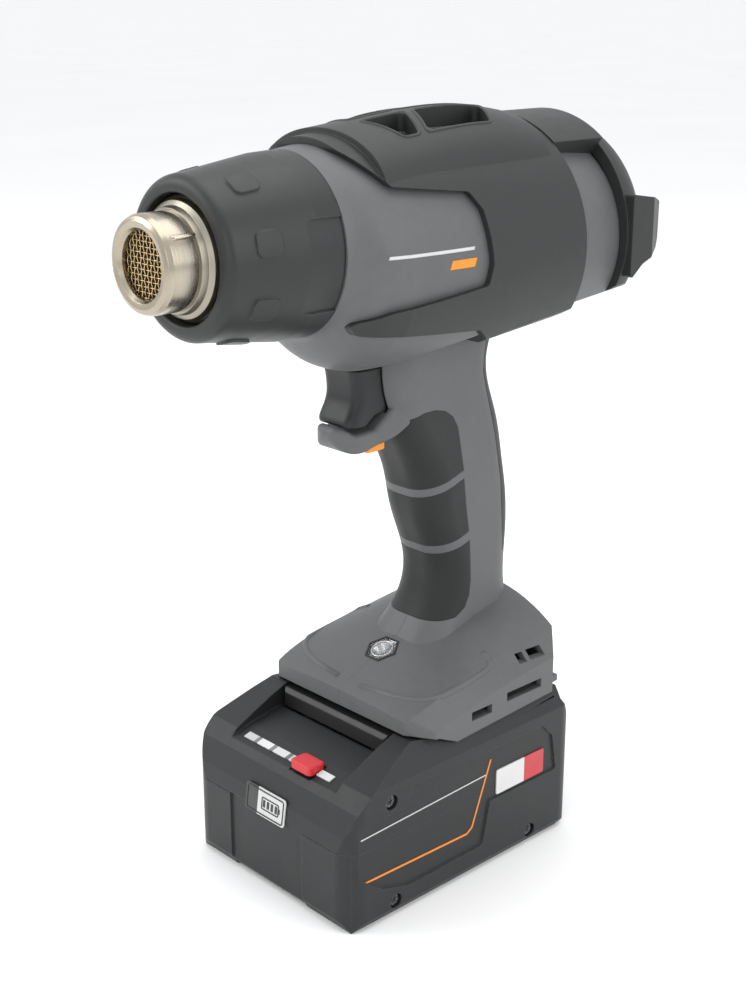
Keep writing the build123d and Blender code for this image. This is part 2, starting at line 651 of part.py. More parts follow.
with BuildPart() as motor_can:
    rod_y(MOTOR_FRONT, MOTOR_REAR, MOTOR_R, MOTOR_Z, bore=SHAFT_R + 0.6)
    rod_y(MOTOR_FRONT - 1, MOTOR_FRONT + 3, 4.0, MOTOR_Z, mode=Mode.SUBTRACT)
    rod_y(MOTOR_REAR - 3, MOTOR_REAR + 1, 4.0, MOTOR_Z, mode=Mode.SUBTRACT)
    fillet(motor_can.edges().filter_by(GeomType.CIRCLE).filter_by(lambda e: e.radius > MOTOR_R - 0.1), 1.5)
save(motor_can, "motor_can")

with BuildPart() as motor_bearings:
    for start in (MOTOR_FRONT, MOTOR_REAR - 3):
        rod_y(start, start + 3, 4.0 - 0.02, MOTOR_Z, bore=SHAFT_R + 0.04)
save(motor_bearings, "motor_bearings")

with BuildPart() as motor_mount:
    rod_y(34.0, 40.0, DUCT_R, MOTOR_Z, bore=DUCT_R - 2.4)
    with BuildSketch(across(39.0)):
        with Locations((0, MOTOR_Z)):
            with PolarLocations(MOTOR_R + 8.6, 4, start_angle=45):
                Rectangle(17.0, 3.0)
    extrude(amount=4)
    rod_y(34.0, 40.0, MOTOR_R + 2.0, MOTOR_Z)
    rod_y(33.0, 41.0, MOTOR_R + EPS, MOTOR_Z, mode=Mode.SUBTRACT)
save(motor_mount, "motor_mount")

# ------------------------------------------------------------------ trigger group
TRIGGER_HALF = 10.4
# front of the trigger: (z, y), evenly spaced
TRIGGER_FACE = [(184.8, -26.4), (189.6, -28.8), (194.4, -26.2), (199.2, -25.2), (204.0, -25.6),
                (208.8, -27.0)]
SPRING_Z = 199.0

with BuildPart() as trigger:
    for z, front in TRIGGER_FACE:
        with BuildSketch(level(z)):
            with Locations((0, (front - 7.0) / 2)):
                RectangleRounded(2 * TRIGGER_HALF, -7.0 - front, 4.8)
    loft()
    slab([(-30.0, 180.0), (-30.0, 187.0), (-21.6, 187.0), (-16.4, 190.8), (-6.0, 191.2), (-6.0, 180.0)], 12,
         mode=Mode.SUBTRACT)
    slab([(-30.0, 208.4), (-6.0, 208.4), (-6.0, 212.0), (-30.0, 212.0)], 12, mode=Mode.SUBTRACT)
    rod_y(-12.0, -6.0, 3.4, SPRING_Z, mode=Mode.SUBTRACT)
save(trigger, "trigger")

with BuildPart() as trigger_spring:
    rod_y(-11.9, 1.9, 2.8, SPRING_Z, bore=2.0)
save(trigger_spring, "trigger_spring")

with BuildPart() as trigger_switch:
    block(-9.0, 9.0, 2.0, 24.0, 191.0, 208.0)
save(trigger_switch, "trigger_switch")

with BuildPart() as lock_lever:
    block(-LOCK_HALF, LOCK_HALF, -18.4, -8.4, 179.4, 181.8)
    block(-LOCK_HALF, LOCK_HALF, -17.9, -8.9, 174.6, 179.5)
    fillet(lock_lever.edges().group_by(Axis.Z)[0], 1.0)
save(lock_lever, "lock_lever")

# ------------------------------------------------------------------ electrics
BOARD_X = 5.0
TERMINAL_LOW = 10.0       # terminal block's underside above the deck plane
BLADE_X = (-14.0, -5.0, 5.0, 14.0)

with BuildPart() as control_board:
    block(BOARD_X, BOARD_X + 1.6, 28.0, 47.6, 122.0, 170.0)
    block(BOARD_X - 7.0, BOARD_X, 30.0, 38.0, 128.0, 142.0)
    block(BOARD_X - 4.0, BOARD_X, 38.0, 46.0, 150.0, 166.0)
save(control_board, "control_board")

with BuildPart() as terminal_block:
    with BuildSketch(deck.offset(TERMINAL_LOW)):
        with Locations((0, 34.0)):
            Rectangle(40.0, 22.0)
    extrude(amount=6)
    with BuildSketch(deck.offset(TERMINAL_LOW - 1)):
        with Locations(*[(x, 34.0) for x in BLADE_X]):
            Rectangle(0.9, 14.1)
    extrude(amount=8, mode=Mode.SUBTRACT)
save(terminal_block, "terminal_block")

with BuildPart() as contact_blades:
    with BuildSketch(deck.offset(2.0)):
        with Locations(*[(x, 34.0) for x in BLADE_X]):
            Rectangle(0.8, 14.0)
    extrude(amount=13.0)
save(contact_blades, "contact_blades")

with BuildPart() as lamp_lens:
    with BuildSketch(lamp.offset(-2.2)):
        RegularPolygon(LAMP_R - 0.25, 6)
    extrude(amount=2.4)
save(lamp_lens, "lamp_lens")

with BuildPart() as lamp_reflector:
    with BuildSketch(lamp.offset(-2.25)):
        Circle(5.9)
    with BuildSketch(lamp.offset(-6.0)):
        Circle(3.4)
    loft()
    with BuildSketch(lamp.offset(-2.2)):
        Circle(5.2)
    with BuildSketch(lamp.offset(-6.1)):
        Circle(2.6)
    loft(mode=Mode.SUBTRACT)
save(lamp_reflector, "lamp_reflector")

with BuildPart() as lamp_board:
    with BuildSketch(lamp.offset(-7.4)):
        Rectangle(11.0, 9.0)
    extrude(amount=1.3)
    with BuildSketch(lamp.offset(-6.1)):
        Rectangle(2.4, 2.4)
    extrude(amount=0.8)
save(lamp_board, "lamp_board")

with BuildPart() as battery_leads:
    for x in (-8.0, -5.0):
        with BuildLine() as lead:
            FilletPolyline((x, 34, 81.5), (x, 34, 96), (x, 32, 130), (x, 26, 168), (x, 15, 190.0), radius=14)
        with BuildSketch(Plane(origin=lead.line @ 0, z_dir=lead.line % 0)):
            Circle(1.1)
        sweep()
save(battery_leads, "battery_leads")

# ------------------------------------------------------------------ battery pack
CELL_R, CELL_LONG = 10.4, 70.0
CELL_COLUMNS, CELL_PITCH = 5, 22.0
CELL_ROWS = (14.4, 36.0)
BLOCK_HALF, BLOCK_STEM = 32.0, 27.0   # guide block on top of the pack: its head and its stem
BLOCK_FRONT, BLOCK_REAR = -17.0, 50.0
BLOCK_TOP = 7.2                       # above the deck plane
RECESS_HALF = 32.0                    # finger recess under the front lip
PACK_SCREWS = [(-43.0, 50.5), (-40.6, 6.4), (37.8, 6.0)]
PACK_SCREW_R = 2.4
FRONT_FIELD = (-24.0, 20.0)           # sunk field between the corner bumpers, from x to x
RELEASE_SPRINGS = [(-20.0, -24.6), (20.0, -24.6)]
RELEASE_SPRING_R = 2.4
CHARGE_BUTTON = (5.0, 17.0, -57.5, -49.0)    # x0, x1, y0, y1
CHARGE_STRIP = [(-27.0, 4.4), (17.6, 25.0)]

pack_side = [
    (-62.0, 0), (57.5, 0), (62.1, 3.6), (64.7, 14.8), (PACK_REAR, 30.5), (64.2, 33.0), (64.0, 46.2),
    (60.3, 53.6), (57.0, 60.5), (57.0, DECK_Z + 57.0 * DECK_SLOPE - GAP),
    (-6.2, DECK_Z - 6.2 * DECK_SLOPE - GAP),
    (-16.0, 66.6), (-27.0, 68.3), (-36.0, 65.0), (-46.0, 60.4), (-54.0, 56.6), (-60.0, 50.8),
    (-64.0, 41.0), (PACK_FRONT, 34.0), (PACK_FRONT, 5.0),
]
pack_inner = [
    (-62.0, 2.8), (60.0, 2.8), (62.0, 16.0), (61.8, 30.5), (61.2, 45.6), (57.4, 52.8), (54.0, 60.0),
    (54.0, DECK_Z + 54.0 * DECK_SLOPE - 3.4), (-9.0, DECK_Z - 9.0 * DECK_SLOPE - 3.4), (-16.0, 53.4),
    (-50.0, 50.8), (-57.4, 48.6), (-61.0, 40.6), (-62.0, 34.0),
]
recess_side = [(-19.0, 90), (-19.0, 59.2), (-31.0, 59.0), (-47.0, 56.4), (-51.0, 55.2), (-61.0, 52.4),
               (-80, 60), (-80, 90)]
label_recess = [(-60.5, 24.0), (-47.6, 14.7), (-33.0, 10.4), (8.4, 11.0), (12.5, 29.8), (53.3, 29.4),
                (50.4, 46.0), (44.0, 52.6), (-30.0, 52.6), (-36.0, 45.4), (-60.5, 45.4)]
button_pocket = [(-18.8, 90), (-18.8, 55.8), (-30.8, 55.8), (-30.8, 90)]

with BuildPart() as pack_form:
    slab(pack_side, PACK_HALF)
    with BuildSketch(Plane.XY) as footprint:
        Rectangle(2 * PACK_HALF, PACK_REAR - PACK_FRONT)
        fillet(footprint.vertices(), 9.0)
    extrude(amount=80, mode=Mode.INTERSECT)
    with BuildSketch(Plane.XZ):
        with BuildLine():
            Polyline((-PACK_HALF, 3.6), (-PACK_HALF + 2.6, 0), (PACK_HALF - 2.6, 0), (PACK_HALF, 3.6),
                     (PACK_HALF, 57.5), (PACK_HALF - 8.0, 71.0), (-PACK_HALF + 8.0, 71.0),
                     (-PACK_HALF, 57.5), close=True)
        make_face()
    extrude(amount=80, both=True, mode=Mode.INTERSECT)

with BuildPart() as pack_block:
    with BuildSketch(deck.offset(-3.0)):
        with Locations((0, (BLOCK_FRONT + BLOCK_REAR) / 2)):
            Rectangle(2 * BLOCK_STEM, BLOCK_REAR - BLOCK_FRONT)
    extrude(amount=RAIL_HIGH + GAP + 3.1)
    with BuildSketch(deck.offset(RAIL_HIGH + GAP)):
        with Locations((0, (BLOCK_FRONT + BLOCK_REAR) / 2)):
            Rectangle(2 * BLOCK_HALF, BLOCK_REAR - BLOCK_FRONT)
    extrude(amount=BLOCK_TOP - RAIL_HIGH - GAP)
    with BuildSketch(deck.offset(1.2)):
        with Locations(*[(x, 40.0) for x in BLADE_X]):
            Rectangle(4.4, 2 * (BLOCK_REAR - 40.0) + 8.0)
    extrude(amount=12, mode=Mode.SUBTRACT)

with BuildPart() as pack_details:
    slab(recess_side, RECESS_HALF)
    slab(button_pocket, RECESS_HALF - 0.8)
    for spot in RELEASE_SPRINGS:
        rod_z(54.2, 56.0, RELEASE_SPRING_R + GAP, spot)
    x0, x1, y0, y1 = CHARGE_BUTTON
    block(x0 - GAP, x1 + GAP, y0 - GAP, y1 + GAP, 53.0, 60.0)
    block(*FRONT_FIELD, PACK_FRONT - 1, PACK_FRONT + 0.8, -1, PACK_SEAM)
    block(*FRONT_FIELD, PACK_FRONT - 1, PACK_FRONT + 5.0, -1, 2.4)
    block(-60, 60, PACK_FRONT - 1, PACK_FRONT + 0.5, PACK_SEAM - 0.4, PACK_SEAM + 0.4)
    for sense in (-1, 1):
        with BuildSketch(side(sense * PACK_HALF)) as panel:
            with BuildLine():
                Polyline(*label_recess, close=True)
            make_face()
            fillet(panel.vertices(), 1.2)
        extrude(amount=-0.8 * sense)
        for spot in PACK_SCREWS:
            rod_x(sense * (PACK_HALF - 7.0), sense * (PACK_HALF + 1), 3.1, spot)

with BuildPart() as pack_solid:
    add(pack_form.part)
    add(pack_details.part, mode=Mode.SUBTRACT)
    slab(pack_inner, PACK_HALF - PACK_WALL, mode=Mode.SUBTRACT)
    for spot in PACK_SCREWS:
        rod_x(-PACK_HALF + 1.0, -PACK_HALF + 12.0, 4.6, spot)
        rod_x(PACK_HALF - 12.0, PACK_HALF - 1.0, 4.6, spot)
        rod_x(-PACK_HALF - 1, PACK_HALF + 1, PACK_SCREW_R + EPS, spot, mode=Mode.SUBTRACT)
        rod_x(-PACK_HALF - 1, -PACK_HALF + 4.0, 3.1, spot, mode=Mode.SUBTRACT)
        rod_x(PACK_HALF - 4.0, PACK_HALF + 1, 3.1, spot, mode=Mode.SUBTRACT)
    add(pack_form.part, mode=Mode.INTERSECT)
    add(pack_block.part)

with BuildPart() as battery_lower_shell:
    add(pack_solid.part)
    split(bisect_by=level(PACK_SEAM), keep=Keep.BOTTOM)
save(battery_lower_shell, "battery_lower_shell")

with BuildPart() as battery_upper_shell:
    add(pack_solid.part)
    split(bisect_by=level(PACK_SEAM), keep=Keep.TOP)
save(battery_upper_shell, "battery_upper_shell")

with BuildPart() as battery_screws:
    for spot in PACK_SCREWS:
        rod_x(-PACK_HALF + 4.2, -PACK_HALF + 12.0, PACK_SCREW_R, spot)
        rod_x(PACK_HALF - 12.0, PACK_HALF - 4.2, PACK_SCREW_R, spot)
save(battery_screws, "battery_screws")

with BuildPart() as release_button:
    slab([(-30.5, 59.8), (-30.5, 65.8), (-28.9, 67.4), (-19.2, 67.2), (-19.2, 58.4), (-29.1, 58.4)],
         RECESS_HALF - 1.2)
    fillet(release_button.edges().filter_by(Axis.Z).group_by(Axis.Y)[0], 2.0)
save(release_button, "release_button")

with BuildPart() as release_springs:
    for spot in RELEASE_SPRINGS:
        rod_z(54.3, 58.3, RELEASE_SPRING_R, spot, bore=1.7)
save(release_springs, "release_springs")

with BuildPart() as charge_button:
    x0, x1, y0, y1 = CHARGE_BUTTON
    block(x0, x1, y0, y1, 54.4, 58.0)
    fillet(charge_button.edges().filter_by(Axis.Z), 1.8)
    fillet(charge_button.faces().sort_by(Axis.Z)[-1].edges(), 0.8)
save(charge_button, "charge_button")

with BuildPart() as charge_window:
    for x0, x1 in CHARGE_STRIP:
        with BuildSketch(Plane(origin=(0, -51.0, 55.25), x_dir=(1, 0, 0), z_dir=(0, -0.27, 0.963))):
            with Locations(((x0 + x1) / 2, -1.9)):
                Rectangle(x1 - x0, 3.4)
        extrude(amount=0.5)
save(charge_window, "charge_window")

with BuildPart() as front_plate:
    front_face = Plane(origin=(-1.5, PACK_FRONT + 0.45, 38.0), x_dir=(1, 0, 0), z_dir=(0, -0.99, 0.141))
    with BuildSketch(front_face):
        RectangleRounded(24.0, 11.6, 1.4)
    extrude(amount=0.5)
    add(pack_form.part, mode=Mode.SUBTRACT)
save(front_plate, "front_plate")

with BuildPart() as side_plates:
    for sense in (-1, 1):
        with BuildSketch(side(sense * (PACK_HALF - 0.8))):
            with Locations((31.0, 36.4)):
                RectangleRounded(29.0, 11.0, 0.8)
        extrude(amount=0.5 * sense)
save(side_plates, "side_plates")

cell_spots = [((column - (CELL_COLUMNS - 1) / 2) * CELL_PITCH, z) for column in range(CELL_COLUMNS)
              for z in CELL_ROWS]
with BuildPart() as battery_cells:
    for spot in cell_spots:
        rod_x(-CELL_LONG / 2, CELL_LONG / 2, CELL_R, spot)
save(battery_cells, "battery_cells")

for side_name, sense in (("left", -1), ("right", 1)):
    with BuildPart() as cell_holder:
        block(sense * 24.0, sense * 35.3, -56.0, 56.0, 3.2, 47.4)
        for spot in cell_spots:
            rod_x(sense * 22.0, sense * 37.0, CELL_R + EPS, spot, mode=Mode.SUBTRACT)
    save(cell_holder, f"cell_holder_{side_name}")

with BuildPart() as cell_straps:
    for sense in (-1, 1):
        for column in range(CELL_COLUMNS):
            y = (column - (CELL_COLUMNS - 1) / 2) * CELL_PITCH
            block(sense * 35.4, sense * 35.7, y - 3.0, y + 3.0, CELL_ROWS[0] - 4, CELL_ROWS[1] + 4)
save(cell_straps, "cell_straps")

with BuildPart() as battery_board:
    block(-30.0, 30.0, -50.0, 50.0, 48.4, 50.0)
save(battery_board, "battery_board")

with BuildPart() as battery_terminals:
    for x in BLADE_X:
        for offset in (-1.5, 1.5):
            with BuildSketch(deck.offset(1.3)):
                with Locations((x + offset, 38.0)):
                    Rectangle(0.6, 20.0)
            extrude(amount=5.4)
save(battery_terminals, "battery_terminals")
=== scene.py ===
import json
from math import cos, pi, radians, sin

import bmesh
import bpy
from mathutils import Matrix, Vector
from mathutils.bvhtree import BVHTree


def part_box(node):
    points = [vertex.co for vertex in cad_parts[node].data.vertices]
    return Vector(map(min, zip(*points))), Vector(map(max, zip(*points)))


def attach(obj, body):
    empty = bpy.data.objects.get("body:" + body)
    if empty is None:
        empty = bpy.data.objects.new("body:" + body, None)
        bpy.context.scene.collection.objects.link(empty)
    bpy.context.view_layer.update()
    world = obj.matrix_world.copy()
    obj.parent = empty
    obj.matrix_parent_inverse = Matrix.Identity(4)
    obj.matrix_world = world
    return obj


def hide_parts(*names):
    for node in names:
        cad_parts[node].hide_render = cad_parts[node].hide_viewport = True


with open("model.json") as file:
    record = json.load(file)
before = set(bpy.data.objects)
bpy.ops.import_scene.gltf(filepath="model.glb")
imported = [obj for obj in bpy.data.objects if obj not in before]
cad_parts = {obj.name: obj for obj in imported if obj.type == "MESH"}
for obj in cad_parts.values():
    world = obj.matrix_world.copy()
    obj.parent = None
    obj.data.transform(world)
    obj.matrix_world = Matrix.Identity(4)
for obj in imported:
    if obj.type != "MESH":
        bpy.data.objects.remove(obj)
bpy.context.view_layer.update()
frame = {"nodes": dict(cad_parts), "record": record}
NODES = frame["nodes"]
MM = 0.001
X_AXIS = Vector((1, 0, 0))
BOTH_SIDES = (("left", -1), ("right", 1))
INK = 0.12 * MM           # thickness of a print
REACH = 0.2               # how far outside a surface a search for it starts


# ------------------------------------------------------------------ material helpers
class Tree:
    """A material's node tree with short calls for the nodes used here."""

    def __init__(self, name, **constants):
        self.material = bpy.data.materials.new(name)
        self.material.use_nodes = True
        self.tree = self.material.node_tree
        self.shader = self.tree.nodes["Principled BSDF"]
        for socket, value in constants.items():
            self.shader.inputs[socket.replace("_", " ")].default_value = value
        self.place = self.add("ShaderNodeTexCoord").outputs["Object"]

    def add(self, kind, **settings):
        node = self.tree.nodes.new(kind)
        for key, value in settings.items():
            setattr(node, key, value)
        return node

    def put(self, socket, value):
        if hasattr(value, "is_output"):
            self.tree.links.new(value, socket)
        else:
            socket.default_value = value

    def scaled(self, factors):
        node = self.add("ShaderNodeMapping")
        node.inputs["Scale"].default_value = factors
        self.put(node.inputs["Vector"], self.place)
        return node.outputs["Vector"]

    def noise(self, scale, detail=3.0, where=None, roughness=0.5):
        node = self.add("ShaderNodeTexNoise")
        self.put(node.inputs["Vector"], where or self.place)
        node.inputs["Scale"].default_value = scale
        node.inputs["Detail"].default_value = detail
        node.inputs["Roughness"].default_value = roughness
        return node.outputs["Fac"]

    def cells(self, scale, where=None):
        node = self.add("ShaderNodeTexVoronoi", feature="F1")
        self.put(node.inputs["Vector"], where or self.place)
        node.inputs["Scale"].default_value = scale
        return node.outputs["Distance"]

    def maths(self, operation, a, b=0.0, c=0.0):
        node = self.add("ShaderNodeMath", operation=operation)
        for socket, value in zip(node.inputs, (a, b, c)):
            self.put(socket, value)
        return node.outputs[0]

    def span(self, value, low, high, to_low=0.0, to_high=1.0):
        node = self.add("ShaderNodeMapRange")
        for socket, number in zip(node.inputs, (value, low, high, to_low, to_high)):
            self.put(socket, number)
        return node.outputs[0]

    def ramp(self, value, stops, step=False):
        node = self.add("ShaderNodeValToRGB")
        node.color_ramp.interpolation = "CONSTANT" if step else "LINEAR"
        for index, (spot, colour) in enumerate(stops):
            part = node.color_ramp.elements[index] if index < 2 else node.color_ramp.elements.new(spot)
            part.position = spot
            part.color = (*colour, 1)
        self.put(node.inputs["Fac"], value)
        return node.outputs["Color"]

    def mix(self, factor, a, b):
        node = self.add("ShaderNodeMix", data_type="RGBA")
        for socket, value in zip((node.inputs[0], node.inputs[6], node.inputs[7]), (factor, a, b)):
            self.put(socket, (*value, 1) if isinstance(value, tuple) else value)
        return node.outputs[2]

    def axis(self, letter):
        node = self.add("ShaderNodeSeparateXYZ")
        self.put(node.inputs[0], self.place)
        return node.outputs[letter]

    def rounding(self, radius):
        node = self.add("ShaderNodeBevel", samples=4)
        node.inputs["Radius"].default_value = radius
        return node.outputs["Normal"]

    def edges(self, rounded):
        """1 on the outer and inner corners that the rounding softens, 0 on the flats."""
        dot = self.add("ShaderNodeVectorMath", operation="DOT_PRODUCT")
        self.put(dot.inputs[0], rounded)
        self.put(dot.inputs[1], self.add("ShaderNodeNewGeometry").outputs["Normal"])
        return self.span(dot.outputs["Value"], 0.995, 0.9)

    def relief(self, height, strength, distance, under=None):
        node = self.add("ShaderNodeBump")
        node.inputs["Strength"].default_value = strength
        node.inputs["Distance"].default_value = distance
        self.put(node.inputs["Height"], height)
        if under is not None:
            self.put(node.inputs["Normal"], under)
        return node.outputs["Normal"]

    def finish(self, colour, rough, normal=None):
        self.put(self.shader.inputs["Base Color"], colour)
        self.put(self.shader.inputs["Roughness"], rough)
        if normal is not None:
            self.put(self.shader.inputs["Normal"], normal)
        return self.material


def tint(colour, factor):
    return tuple(min(1.0, c * factor) for c in colour)


def plastic(name, colour, rough, grain=2600.0, depth=0.5, rounding=0.0006, wear=0.25):
    """Moulded plastic: fine spark-eroded grain, faint flow marks, handling shine, paler worn edges."""
    t = Tree(name, IOR=1.5, Specular_IOR_Level=0.4)
    soft = t.noise(34.0, 4.0)
    cloud = t.noise(210.0, 5.0)
    fine = t.noise(grain, 2.0)
    rounded = t.rounding(rounding)
    rubbed = t.maths("MULTIPLY", t.edges(rounded), t.span(t.noise(420.0, 3.0), 0.38, 0.66, 0.1, wear))
    tone = t.maths("ADD", t.maths("MULTIPLY", soft, 0.6), t.maths("MULTIPLY", cloud, 0.4))
    base = t.ramp(tone, [(0.3, tint(colour, 0.9)), (0.7, tint(colour, 1.1))])
    speck = t.mix(t.span(fine, 0.35, 0.7, 0.0, 0.22), base, tint(colour, 1.45))
    shade = t.mix(rubbed, speck, tuple(0.7 * c + 0.11 for c in colour))
    shine = t.maths("MULTIPLY_ADD", t.maths("SUBTRACT", tone, 0.5), 0.35, rough)
    shine = t.maths("SUBTRACT", shine, t.maths("MULTIPLY", rubbed, 0.3))
    bumps = t.relief(fine, depth, 0.00012, rounded)
    return t.finish(shade, shine, t.relief(cloud, 0.12, 0.0002, bumps))


def rubber(name, colour, rough, grain=1500.0):
    """Soft elastomer: pebbled skin, dust in the hollows, no hard highlights."""
    t = Tree(name, IOR=1.45, Specular_IOR_Level=0.35, Sheen_Weight=0.12, Sheen_Roughness=0.5)
    pebbles = t.cells(grain)
    cloud = t.noise(90.0, 5.0)
    rounded = t.rounding(0.0009)
    base = t.ramp(cloud, [(0.32, tint(colour, 0.86)), (0.72, tint(colour, 1.2))])
    shade = t.mix(t.span(pebbles, 0.1, 0.6, 0.0, 0.35), base, tint(colour, 1.6))
    shade = t.mix(t.maths("MULTIPLY", t.edges(rounded), 0.18), shade, tint(colour, 3.0))
    shine = t.span(cloud, 0.3, 0.7, rough - 0.07, rough + 0.07)
    return t.finish(shade, shine, t.relief(pebbles, 0.35, 0.00014, rounded))


def metal(name, colour, rough, stretch=(1, 1, 1), scratch=900.0, warm=None, rounding=0.0004, depth=0.2):
    """Metal with fine lines left by rolling or turning, smudges, and optional heat colours along Y."""
    t = Tree(name, Metallic=1.0)
    lines = t.noise(scratch, 3.0, t.scaled(stretch))
    smudge = t.noise(60.0, 4.0)
    rounded = t.rounding(rounding)
    shade = t.ramp(lines, [(0.3, tint(colour, 0.88)), (0.72, tint(colour, 1.08))])
    shade = t.mix(t.span(smudge, 0.4, 0.75, 0.0, 0.35), shade, tint(colour, 0.78))
    if warm:
        (y0, y1), stops = warm
        along = t.maths("ADD", t.axis("Y"), t.maths("MULTIPLY", smudge, 0.003))
        shade = t.mix(0.55, shade, t.ramp(t.span(along, y0, y1), stops))
    shine = t.maths("ADD", t.span(lines, 0.3, 0.7, rough - 0.06, rough + 0.07),
                    t.span(smudge, 0.45, 0.75, 0.0, 0.1))
    return t.finish(shade, shine, t.relief(lines, depth, 0.00005, rounded))


def printed(name, stops, axis, low, high, rough=0.35):
    """Printed film: bands of plain colour along one axis, slight orange peel."""
    t = Tree(name, IOR=1.5, Coat_Weight=0.25, Coat_Roughness=0.12)
    peel = t.noise(900.0, 2.0)
    wash = t.noise(120.0, 3.0)
    bands = t.ramp(t.span(t.axis(axis), low, high), stops, step=True)
    shade = t.mix(t.span(wash, 0.35, 0.8, 0.0, 0.1), bands, (0.35, 0.35, 0.35))
    return t.finish(shade, t.span(wash, 0.3, 0.7, rough - 0.06, rough + 0.08),
                    t.relief(peel, 0.15, 0.00005, t.rounding(0.0002)))


def clear(name, colour, rough, grain=500.0):
    t = Tree(name, IOR=1.49, Transmission_Weight=1.0)
    ripple = t.noise(grain, 2.0)
    tone = t.noise(80.0, 2.0)
    return t.finish(t.ramp(tone, [(0.3, tint(colour, 0.95)), (0.7, colour)]),
                    t.span(tone, 0.3, 0.7, rough, rough + 0.04), t.relief(ripple, 0.08, 0.0001))


# base colours that several materials share
GREY = (0.096, 0.0985, 0.0995)
COVER = (0.0215, 0.0222, 0.0226)
SLEEVE = (0.018, 0.0187, 0.019)
PACK = (0.0138, 0.0146, 0.0154)
BLACK = (0.0125, 0.0135, 0.0136)
STEEL = (0.43, 0.395, 0.325)
# heat colours of the outlet tube, from its rim rearwards
TEMPER = ((-0.114, -0.094), [(0.0, (0.37, 0.3, 0.21)), (0.3, (0.46, 0.41, 0.33)), (1.0, (0.42, 0.4, 0.35))])
MATERIALS = {
    "housing_grey": plastic("housing_grey", GREY, 0.47, wear=0.2),
    "cover_black": plastic("cover_black", COVER, 0.5, grain=2100.0, depth=0.8, wear=0.3),
    "sleeve_black": plastic("sleeve_black", SLEEVE, 0.42, grain=2400.0, depth=0.4, rounding=0.0009,
                            wear=0.3),
    "grip_rubber": rubber("grip_rubber", BLACK, 0.58),
    "outlet_steel": metal("outlet_steel", STEEL, 0.24, stretch=(0.15, 4.0, 0.15), warm=TEMPER),
    "flange_steel": metal("flange_steel", tint(STEEL, 0.84), 0.32, stretch=(0.15, 4.0, 0.15)),
    "mesh_steel": metal("mesh_steel", (0.66, 0.5, 0.28), 0.3, scratch=1500.0),
    "coil_wire": metal("coil_wire", (0.55, 0.42, 0.3), 0.4, scratch=2000.0),
    "sensor_steel": metal("sensor_steel", (0.62, 0.61, 0.6), 0.3, scratch=1500.0),
    "shaft_steel": metal("shaft_steel", (0.72, 0.72, 0.73), 0.18, stretch=(0.2, 4.0, 0.2)),
    "motor_steel": metal("motor_steel", (0.52, 0.52, 0.53), 0.34, stretch=(0.2, 4.0, 0.2)),
    "spring_steel": metal("spring_steel", (0.5, 0.5, 0.5), 0.3, scratch=1800.0),
    "screw_steel": metal("screw_steel", (0.14, 0.14, 0.15), 0.36, scratch=1200.0),
    "contact_brass": metal("contact_brass", (0.78, 0.6, 0.28), 0.22, stretch=(1, 1, 5)),
    "strap_nickel": metal("strap_nickel", (0.66, 0.65, 0.62), 0.28, stretch=(1, 1, 4)),
    "reflector_chrome": metal("reflector_chrome", (0.6, 0.6, 0.6), 0.3, depth=0.05),
    # amber colour of the mica sheet, darkened well below real mica to paint in the shade deep inside the
    # outlet tube (painted shade)
    "mica": plastic("mica", (0.16, 0.115, 0.06), 0.4, grain=900.0, wear=0.05),
    "ceramic": plastic("ceramic", (0.62, 0.57, 0.48), 0.6, grain=1400.0, wear=0.05),
    "inner_plastic": plastic("inner_plastic", (0.03, 0.03, 0.032), 0.5, wear=0.1),
    "impeller_plastic": plastic("impeller_plastic", (0.05, 0.05, 0.055), 0.4, wear=0.1),
    "filter_mesh": rubber("filter_mesh", (0.03, 0.03, 0.03), 0.7, grain=1100.0),
    "dial_plastic": plastic("dial_plastic", (0.017, 0.018, 0.019), 0.4, wear=0.35),
    "trigger_black": plastic("trigger_black", (0.0085, 0.009, 0.0098), 0.4, grain=2800.0, depth=0.3,
                             rounding=0.0012),
    "lever_orange": plastic("lever_orange", (0.78, 0.24, 0.02), 0.32, depth=0.2, wear=0.15),
    "circuit_board": plastic("circuit_board", (0.02, 0.14, 0.07), 0.3, grain=500.0, depth=0.2, wear=0.1),
    "lamp_glass": clear("lamp_glass", (0.96, 0.98, 1.0), 0.02),
    "lead_insulation": plastic("lead_insulation", (0.35, 0.02, 0.015), 0.35, depth=0.1, wear=0.05),
    "battery_black": plastic("battery_black", PACK, 0.44, grain=1900.0, depth=0.8, rounding=0.0008,
                             wear=0.3),
    "button_black": plastic("button_black", (0.012, 0.012, 0.013), 0.34, depth=0.2, rounding=0.0009),
    "button_red": plastic("button_red", (0.54, 0.022, 0.028), 0.3, depth=0.15, wear=0.12),
    "window_white": printed("window_white", [(0.0, (0.5, 0.51, 0.51)), (0.13, (0.16, 0.16, 0.17)),
                                             (0.17, (0.68, 0.69, 0.69)), (0.31, (0.16, 0.16, 0.17)),
                                             (0.35, (0.6, 0.61, 0.61)), (0.49, (0.12, 0.12, 0.13)),
                                             (0.53, (0.5, 0.51, 0.51)), (0.62, (0.12, 0.12, 0.13)),
                                             (0.78, (0.62, 0.63, 0.63))], "X", -0.028, 0.026),
    "plate_silver": printed("plate_silver", [(0.0, (0.014, 0.014, 0.015)), (0.31, (0.56, 0.56, 0.56))],
                            "X", -0.0135, 0.0105),
    "plate_white": printed("plate_white", [(0.0, (0.62, 0.62, 0.61)), (0.58, (0.5, 0.015, 0.028))],
                           "Y", 0.0165, 0.0455),
    "cell_wrap": plastic("cell_wrap", (0.03, 0.12, 0.3), 0.28, depth=0.1, wear=0.05),
}

BAR = {"pale": plastic("pale_ink", (0.55, 0.56, 0.56), 0.4, depth=0.1, wear=0.05),
       "orange": plastic("orange_ink", (0.8, 0.25, 0.02), 0.4, depth=0.1, wear=0.05)}

slot_of = {row["node"]: row["material_slot"] for row in frame["record"]["subparts"]}
for node_name, node in NODES.items():
    node.data.materials.clear()
    node.data.materials.append(MATERIALS[slot_of[node_name]])


